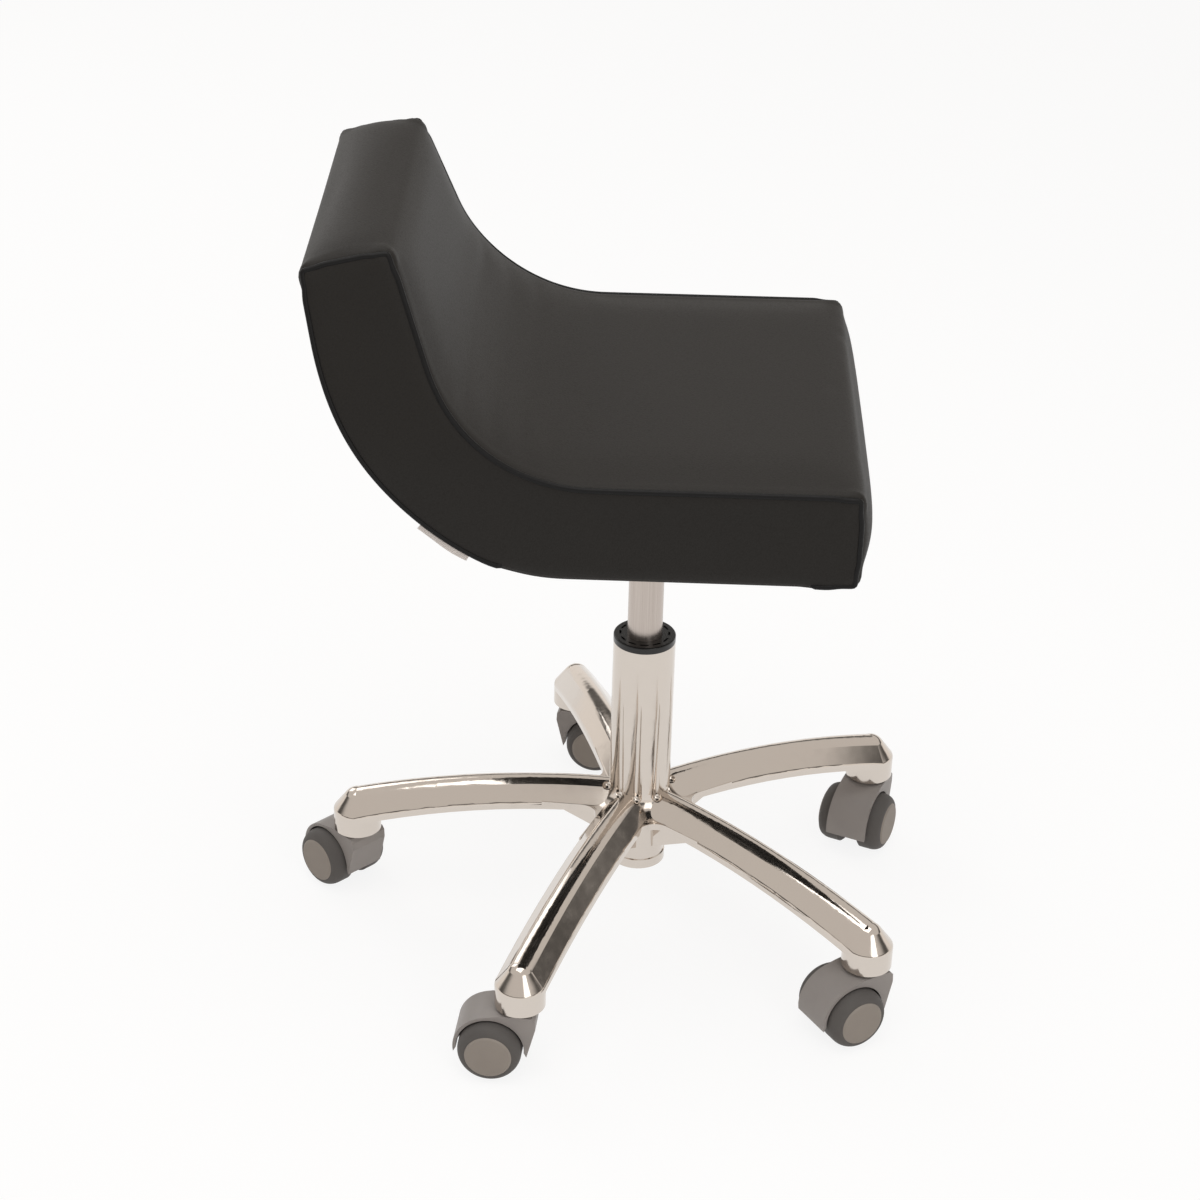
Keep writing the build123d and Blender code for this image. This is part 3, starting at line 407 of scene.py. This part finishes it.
# Its front and top edges are rounder in the middle than at the seams.
for turn in range(9):
    bmesh.ops.smooth_vert(block, verts=at_corners(2 * corner_reach, 0.995 - 0.010 * turn), factor=0.5,
                          use_axis_x=False, use_axis_y=True, use_axis_z=True)

# The underside is drawn flat on the shell, which leaves the dust cover its own thickness.
dust_front, dust_back = 0.113, -0.104             # forward of the column's axis
dust_depth = 0.0013
dust_fade = 0.006                                 # over which the tuck eases out
block.normal_update()
for v, t in zip(block.verts, through):
    if t > 0.999:
        front_share = ease(v.co.y, -dust_front - dust_fade, -dust_front)
        shelf = front_share * ease(-v.co.y, dust_back - dust_fade, dust_back)
        v.co -= v.normal * dust_depth * shelf

cushion = bpy.data.objects.new("seat_cushion", bpy.data.meshes.new("seat_cushion"))
block.to_mesh(cushion.data)
block.free()
bpy.context.scene.collection.objects.link(cushion)

sides = [abs(u) > 0.999 for u in across]
walls = [min(t, 1 - t) < 0.001 or min(s, cells_along - s) < 0.001 for t, s in zip(through, along)]
seam = [k for k in range(len(across)) if sides[k] and walls[k]]
rest = [v.co.copy() for v in cushion.data.vertices]
normals = [v.normal.copy() for v in cushion.data.vertices]
held = cushion.vertex_groups.new(name="piped_seams")
held.add(seam, 1.0, "REPLACE")

# How far the vinyl may swell beyond the padding, and beyond the thin pad under the side panels.
cover_swell, panel_swell = 0.0022, 0.0028


def swell_at(k):
    """The most that a point of the cover may move."""
    if sides[k] and not walls[k]:
        return panel_swell
    return cover_swell * (1 - ease(-normals[k].z, 0.55, 0.9))


cloth = cushion.modifiers.new("cloth", "CLOTH")
cloth.settings.vertex_group_mass = "piped_seams"
cloth.settings.quality = 4
cloth.settings.mass = 0.3
cloth.settings.use_pressure = True
cloth.settings.uniform_pressure_force = 4.0
cloth.settings.effector_weights.gravity = 0
cloth.point_cache.frame_start, cloth.point_cache.frame_end = 1, 20
for number in range(1, 21):
    bpy.context.scene.frame_set(number)
swollen = cushion.evaluated_get(bpy.context.evaluated_depsgraph_get()).to_mesh()
moved = [swollen.vertices[k].co - rest[k] for k in range(len(rest))]
cushion.evaluated_get(bpy.context.evaluated_depsgraph_get()).to_mesh_clear()
cushion.modifiers.remove(cloth)
bpy.context.scene.frame_set(1)

for k, v in enumerate(cushion.data.vertices):
    size, limit = moved[k].length, swell_at(k)
    if size > 1e-7 and limit > 0:
        v.co = rest[k] + moved[k] * (limit * tanh(size / limit) / size)

# The folded seam allowance shows through the vinyl as a faint ridge beside each piped seam.
allowance, ridge = 0.0065, 0.0005
ridge_start, ridge_fade = 0.0008, 0.003           # from the seam, and past the allowance
soft = bmesh.new()
soft.from_mesh(cushion.data)
soft.verts.ensure_lookup_table()
free = [soft.verts[k] for k in range(len(across)) if not (sides[k] and walls[k])]
for _ in range(2):
    bmesh.ops.smooth_vert(soft, verts=free, factor=0.4, use_axis_x=True, use_axis_y=True, use_axis_z=True)
soft.normal_update()

# The vinyl rests on the foam: no point of it lies deeper than a little above the foam's own skin,
# and the folds over the front and top edges stand off the foam's sharp corners.
foam_skin = BVHTree.FromObject(nodes["seat_foam"], bpy.context.evaluated_depsgraph_get())
face_air, fold_air = 0.0016, 0.0034
fold_reach = 1.5                                  # cells
for v in free:
    near, outward, _, _ = foam_skin.find_nearest(v.co)
    lean = v.co - near
    inside = lean.dot(outward) < 0
    t, s = through[v.index], along[v.index]
    folded = min(s, cells_along - s) < fold_reach and min(t, 1 - t) * cells_through < fold_reach
    air = fold_air if folded else face_air
    if inside or lean.length < air:
        v.co = near + (outward if inside or lean.length < 1e-6 else lean.normalized()) * air
soft.normal_update()
for v, side in zip(soft.verts, sides):
    from_seam = side_at(v.co.z) - panel_inset - abs(v.co.x)
    if not side and ridge_start < from_seam:
        v.co += v.normal * ridge * (1 - ease(from_seam, allowance, allowance + ridge_fade))
for face in soft.faces:
    face.smooth = True
soft.to_mesh(cushion.data)
soft.free()
rounding = cushion.modifiers.new("rounding", "SUBSURF")
rounding.levels = rounding.render_levels = 1

# Calendered vinyl: a fine pebble grain pressed into a soft, slightly glossy dark grey skin.
grain_size = 0.0011                               # drawn coarser than the real 0.5 mm, so that it shows


def vinyl(name, shade, worn_shade, roughness_low, roughness_high):
    """Grained upholstery vinyl in two near shades."""
    material, tree, shader = new_material(name, IOR=1.5, Specular_IOR_Level=0.28, Sheen_Weight=0.04,
                                          Sheen_Roughness=0.6)
    place = add_node(tree, "ShaderNodeTexCoord")
    pebbles = add_node(tree, "ShaderNodeTexVoronoi", {"feature": "SMOOTH_F1"},
                       Vector=place.outputs["Object"], Scale=1 / grain_size)
    handling = add_node(tree, "ShaderNodeTexNoise", Vector=place.outputs["Object"],
                        Scale=1 / 0.06, Detail=3.0)
    tone = add_node(tree, "ShaderNodeMix", {"data_type": "RGBA"}, _0=handling.outputs["Fac"],
                    _6=linear(shade), _7=linear(worn_shade))
    tree.links.new(tone.outputs[2], shader.inputs["Base Color"])
    roughness = add_node(tree, "ShaderNodeMapRange", Value=pebbles.outputs["Distance"],
                         To_Min=roughness_low, To_Max=roughness_high)
    tree.links.new(roughness.outputs[0], shader.inputs["Roughness"])
    bump = add_node(tree, "ShaderNodeBump", Height=pebbles.outputs["Distance"],
                    Strength=0.35, Distance=0.00025)
    tree.links.new(bump.outputs["Normal"], shader.inputs["Normal"])
    return material


cushion.data.materials.append(vinyl("grained_grey_vinyl", "#201d1a", "#24211d", 0.52, 0.70))
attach(cushion, "seat")
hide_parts("seat_cover")

# ---------------------------------------------------------------- side panels
# One J-shaped piece of the same vinyl on each side, over a thin pad. Its colour is painted a shade darker
# than the cover's: painted shade for the sides, which face away from the overhead light. Each is sewn into
# the piped seam all round, and wraps under the seat to be stapled between the piping's ends.
panel_vinyl_painted_shade = vinyl("grained_vinyl_painted_shade", "#1a1714", "#1e1b17", 0.54, 0.72)
panel_thickness = 0.0012
panel_lift = 0.0004                               # off the cushion's own side
for side, name in ((-1, "right"), (1, "left")):
    panel_mesh = bmesh.new()
    panel_mesh.from_mesh(cushion.data)
    panel_mesh.verts.ensure_lookup_table()
    others = [v for k, v in enumerate(panel_mesh.verts) if not sides[k] or side * v.co.x < 0]
    bmesh.ops.delete(panel_mesh, geom=others, context="VERTS")
    bmesh.ops.translate(panel_mesh, verts=panel_mesh.verts, vec=(side * panel_lift, 0, 0))
    panel = bpy.data.objects.new(f"side_panel_{name}_vinyl", bpy.data.meshes.new(f"side_panel_{name}_vinyl"))
    panel_mesh.to_mesh(panel.data)
    panel_mesh.free()
    bpy.context.scene.collection.objects.link(panel)
    rounding = panel.modifiers.new("rounding", "SUBSURF")
    rounding.levels = rounding.render_levels = 1
    thickness = panel.modifiers.new("thickness", "SOLIDIFY")
    thickness.thickness = panel_thickness
    thickness.offset = 1
    panel.data.materials.append(panel_vinyl_painted_shade)
    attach(panel, "seat")
    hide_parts(f"side_panel_{name}")

# ---------------------------------------------------------------- piping
# A 4 mm cord in black vinyl, sewn into the seam. It starts under the front edge, follows
# the whole profile and tucks in again below the rear bend.
piping_radius = 0.0021
tuck = 0.004
cord_proud, cord_depth = 0.0006, 0.0010           # out from the panel, and in from the cushion's face
black_vinyl, tree, shader = new_material("black_piping_vinyl", Base_Color=linear("#0b0a0a"), IOR=1.5,
                                         Specular_IOR_Level=0.25)
place = add_node(tree, "ShaderNodeTexCoord")
puckers = add_node(tree, "ShaderNodeTexNoise", Vector=place.outputs["Object"], Scale=1 / 0.003, Detail=2.0)
roughness = add_node(tree, "ShaderNodeMapRange", Value=puckers.outputs["Fac"], To_Min=0.42, To_Max=0.6)
tree.links.new(roughness.outputs[0], shader.inputs["Roughness"])
bump = add_node(tree, "ShaderNodeBump", Height=puckers.outputs["Fac"], Strength=0.3, Distance=0.0003)
tree.links.new(bump.outputs["Normal"], shader.inputs["Normal"])


def seam_order(k):
    """Where a seam point lies on the way round: front underside, front, seat, back, top, rear."""
    t, s = through[k], along[k]
    if s < 0.001:
        return 100 - t
    if t < 0.001:
        return 100 + s
    if s > cells_along - 0.001:
        return 200 + t
    return -s if s < cells_along / 2 and -rest[k].y > dust_front else 400 - s


def is_piped(k):
    forward = -rest[k].y
    return through[k] < 0.999 or forward > dust_front or forward < dust_back


for side, name in ((-1, "right"), (1, "left")):
    line = [k for k in seam if side * across[k] > 0 and is_piped(k)]
    line.sort(key=seam_order)
    points = []
    for k in line:
        outward = Vector((0, normals[k].y, normals[k].z)).normalized()
        at = rest[k] - outward * cord_depth
        points.append(Vector((side * (side_at(rest[k].z) - piping_radius + cord_proud), at.y, at.z)))
    inwards = Vector((-side * tuck, 0, tuck))
    points = [points[0] + inwards] + points + [points[-1] + inwards]
    cord = bpy.data.curves.new(f"piping_{name}_cord", "CURVE")
    cord.dimensions = "3D"
    cord.bevel_depth = piping_radius
    cord.bevel_resolution = 4
    cord.use_fill_caps = True
    spline = cord.splines.new("NURBS")
    spline.points.add(len(points) - 1)
    for point, at in zip(spline.points, points):
        point.co = (*at, 1)
    spline.order_u = 3
    spline.use_endpoint_u = True
    spline.resolution_u = 3
    drawn = bpy.data.objects.new("piping_curve", cord)
    bpy.context.scene.collection.objects.link(drawn)
    tube = bpy.data.meshes.new_from_object(drawn.evaluated_get(bpy.context.evaluated_depsgraph_get()))
    bpy.data.objects.remove(drawn)
    piping = bpy.data.objects.new(f"piping_{name}_cord", tube)
    bpy.context.scene.collection.objects.link(piping)
    for polygon in tube.polygons:
        polygon.use_smooth = True
    tube.materials.clear()
    tube.materials.append(black_vinyl)
    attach(piping, "seat")
    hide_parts(f"piping_{name}")

# ---------------------------------------------------------------- side label
# A blank tab of white satin ribbon, folded and caught in the seam low on the rear curve.
label_start, label_length, label_height = 0.2835, 0.0425, 0.0050   # along the underside, from the front
ribbon_mesh = bmesh.new()
bmesh.ops.create_grid(ribbon_mesh, x_segments=16, y_segments=4, size=0.5)
for v in ribbon_mesh.verts:
    run, rise = v.co.x + 0.5, v.co.y + 0.5
    at = point_on(outer_pieces, (seat_front, seat_underside), label_start + label_length * run)
    ahead = point_on(outer_pieces, (seat_front, seat_underside), label_start + label_length * run + 0.001)
    out = (ahead - at).normalized()
    out = Vector((-out.y, out.x))
    lift = label_height * rise - 0.0004 + 0.0004 * sin(run * 5)
    sideways = side_at(at.y) - 0.0012 + 0.0010 * rise + 0.0003 * sin(run * 7)
    v.co = (-sideways, -(at.x + out.x * lift), at.y + out.y * lift)
bmesh.ops.recalc_face_normals(ribbon_mesh, faces=ribbon_mesh.faces)
bmesh.ops.solidify(ribbon_mesh, geom=ribbon_mesh.faces[:], thickness=0.0007)
bmesh.ops.recalc_face_normals(ribbon_mesh, faces=ribbon_mesh.faces)
ribbon = bpy.data.objects.new("side_label_ribbon", bpy.data.meshes.new("side_label_ribbon"))
ribbon_mesh.to_mesh(ribbon.data)
ribbon_mesh.free()
bpy.context.scene.collection.objects.link(ribbon)
satin, tree, shader = new_material("woven_white_satin", Roughness=0.5, Sheen_Weight=0.3)
place = add_node(tree, "ShaderNodeTexCoord")
weave = add_node(tree, "ShaderNodeTexWave", {"bands_direction": "DIAGONAL"},
                 Vector=place.outputs["Object"], Scale=1 / 0.003, Distortion=0.5)
tone = add_node(tree, "ShaderNodeMix", {"data_type": "RGBA"}, _0=weave.outputs["Fac"],
                _6=linear("#d8d0cb"), _7=linear("#efe9e5"))
tree.links.new(tone.outputs[2], shader.inputs["Base Color"])
bump = add_node(tree, "ShaderNodeBump", Height=weave.outputs["Fac"], Strength=0.4, Distance=0.0002)
tree.links.new(bump.outputs["Normal"], shader.inputs["Normal"])
ribbon.data.materials.append(satin)
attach(ribbon, "seat")
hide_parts("side_label")

# ---------------------------------------------------------------- dust cover
# Black spun-bonded cloth closes the underside. Its edges are turned in and stapled to the shell
# every 25 mm, so it puckers a little between the staples.
staple_pitch = 0.025
cloth_margin = 0.010                              # cloth's edge inside the seat's side
cloth_half_width = seat_side - cloth_margin
cloth_start = seat_front - dust_front             # along the underside, from the front
cloth_length = 0.2177
cloth_mesh = bmesh.new()
bmesh.ops.create_grid(cloth_mesh, x_segments=56, y_segments=36, size=0.5)


def under_seat(x, distance, drop):
    """A point under the seat: across, along the underside from the front, and out from the skin."""
    at = point_on(outer_pieces, (seat_front, seat_underside), distance)
    ahead = point_on(outer_pieces, (seat_front, seat_underside), distance + 0.001)
    heading = (ahead - at).normalized()
    return Vector((x, -(at.x - heading.y * drop), at.y + heading.x * drop))


plate_low, plate_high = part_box("seat_plate")
for v in cloth_mesh.verts:
    x = v.co.x * 2 * cloth_half_width
    distance = cloth_start + (v.co.y + 0.5) * cloth_length
    y = distance - seat_front
    from_edge = min(cloth_half_width - abs(x), distance - cloth_start, cloth_start + cloth_length - distance)
    from_plate = max(abs(x) - plate_high.x, y - plate_high.y, plate_low.y - y, 0)
    pucker = 0.0006 * (1 - cos(2 * pi * x / staple_pitch)) * (1 - cos(2 * pi * y / staple_pitch)) / 2
    sag = 0.0016 * ease(from_edge, 0.006, 0.03) * ease(from_plate, 0.004, 0.03)
    puckered = pucker * ease(from_plate, 0.004, 0.02) * (1 - ease(from_edge, 0.01, 0.04))
    v.co = under_seat(x, distance, sag + puckered)
bmesh.ops.recalc_face_normals(cloth_mesh, faces=cloth_mesh.faces)
if cloth_mesh.faces[0].normal.z > 0:
    bmesh.ops.reverse_faces(cloth_mesh, faces=cloth_mesh.faces)
for face in cloth_mesh.faces:
    face.smooth = True
cloth_piece = bpy.data.objects.new("underside_dust_cloth", bpy.data.meshes.new("underside_dust_cloth"))
cloth_mesh.to_mesh(cloth_piece.data)
cloth_mesh.free()
bpy.context.scene.collection.objects.link(cloth_piece)
thickness = cloth_piece.modifiers.new("thickness", "SOLIDIFY")
thickness.thickness = 0.0006
thickness.offset = -1
spunbond, tree, shader = new_material("black_spunbonded_polypropylene", Roughness=0.85)
place = add_node(tree, "ShaderNodeTexCoord")
fibres = add_node(tree, "ShaderNodeTexNoise", Vector=place.outputs["Object"],
                  Scale=1 / 0.0015, Detail=6.0, Distortion=1.5)
tone = add_node(tree, "ShaderNodeMix", {"data_type": "RGBA"}, _0=fibres.outputs["Fac"],
                _6=linear("#121212"), _7=linear("#2c2b2b"))
tree.links.new(tone.outputs[2], shader.inputs["Base Color"])
bump = add_node(tree, "ShaderNodeBump", Height=fibres.outputs["Fac"], Strength=0.5, Distance=0.0003)
tree.links.new(bump.outputs["Normal"], shader.inputs["Normal"])
cloth_piece.data.materials.append(spunbond)
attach(cloth_piece, "seat")
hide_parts("dust_cover")

staple_crown, staple_wire = 0.010, 0.0009
staple_inset = 0.005
staples_mesh = bmesh.new()
places = []
for row in (staple_inset, cloth_length - staple_inset):
    count = int(2 * cloth_half_width / staple_pitch)
    places += [((k - (count - 1) / 2) * staple_pitch, cloth_start + row, 0) for k in range(count)]
for side in (-1, 1):
    count = int(cloth_length / staple_pitch)
    middle = cloth_start + cloth_length / 2
    places += [(side * (cloth_half_width - staple_inset), middle + (k - (count - 1) / 2) * staple_pitch, 1)
               for k in range(count)]
for x, distance, turned in places:
    bar = bmesh.ops.create_cube(staples_mesh, size=1)["verts"]
    here = under_seat(x, distance, 0.0009)
    lean = under_seat(x, distance + 0.001, 0.0009) - here
    size = (staple_wire, staple_crown, staple_wire) if turned else (staple_crown, staple_wire, staple_wire)
    bmesh.ops.scale(staples_mesh, verts=bar, vec=size)
    turn = Vector((0, 1, 0)).rotation_difference(lean).to_matrix()
    bmesh.ops.rotate(staples_mesh, verts=bar, cent=(0, 0, 0), matrix=turn)
    bmesh.ops.translate(staples_mesh, verts=bar, vec=here)
bmesh.ops.bevel(staples_mesh, geom=staples_mesh.edges[:], offset=0.0002, affect="EDGES",
                segments=2, profile=0.5, material=-1)
staples = bpy.data.objects.new("dust_cloth_staples", bpy.data.meshes.new("dust_cloth_staples"))
staples_mesh.to_mesh(staples.data)
staples_mesh.free()
bpy.context.scene.collection.objects.link(staples)
staples.data.materials.append(ground_steel)
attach(staples, "seat")

# ---------------------------------------------------------------- casters
# Five twin-wheel casters: a moulded nylon hood on a steel stem, soft grey polyurethane tyres on
# polypropylene wheels with flat caps. Moulding leaves a fine spark texture on every face.


def moulded(name, shade, lit_shade, texture, roughness_low, roughness_high, relief):
    """Moulded plastic with a spark-eroded texture of the given size."""
    material, tree, shader = new_material(name, IOR=1.48)
    place = add_node(tree, "ShaderNodeTexCoord")
    spark = add_node(tree, "ShaderNodeTexNoise", Vector=place.outputs["Object"],
                     Scale=1 / texture, Detail=4.0)
    blush = add_node(tree, "ShaderNodeTexNoise", Vector=place.outputs["Object"], Scale=1 / 0.02, Detail=2.0)
    tone = add_node(tree, "ShaderNodeMix", {"data_type": "RGBA"}, _0=blush.outputs["Fac"],
                    _6=linear(shade), _7=linear(lit_shade))
    tree.links.new(tone.outputs[2], shader.inputs["Base Color"])
    roughness = add_node(tree, "ShaderNodeMapRange", Value=spark.outputs["Fac"],
                         To_Min=roughness_low, To_Max=roughness_high)
    tree.links.new(roughness.outputs[0], shader.inputs["Roughness"])
    bump = add_node(tree, "ShaderNodeBump", Height=spark.outputs["Fac"], Strength=0.4, Distance=relief)
    tree.links.new(bump.outputs["Normal"], shader.inputs["Normal"])
    return material


hood_nylon = moulded("satin_grey_nylon", "#a09a97", "#aaa4a0", 0.0009, 0.38, 0.55, 0.00008)
wheel_plastic = moulded("matt_grey_polypropylene", "#9c938b", "#a69d94", 0.0012, 0.5, 0.7, 0.00015)
tyre_rubber = moulded("soft_dark_polyurethane", "#5b5856", "#64605d", 0.0016, 0.55, 0.75, 0.0001)
for number in range(1, 6):
    finish_node(f"caster_{number}_hood", hood_nylon)
    finish_node(f"caster_{number}_stem", ground_steel)
    finish_node(f"caster_{number}_axle", ground_steel)
    for half in "ab":
        finish_node(f"caster_{number}_wheel_{half}", wheel_plastic)
        finish_node(f"caster_{number}_tyre_{half}", tyre_rubber)
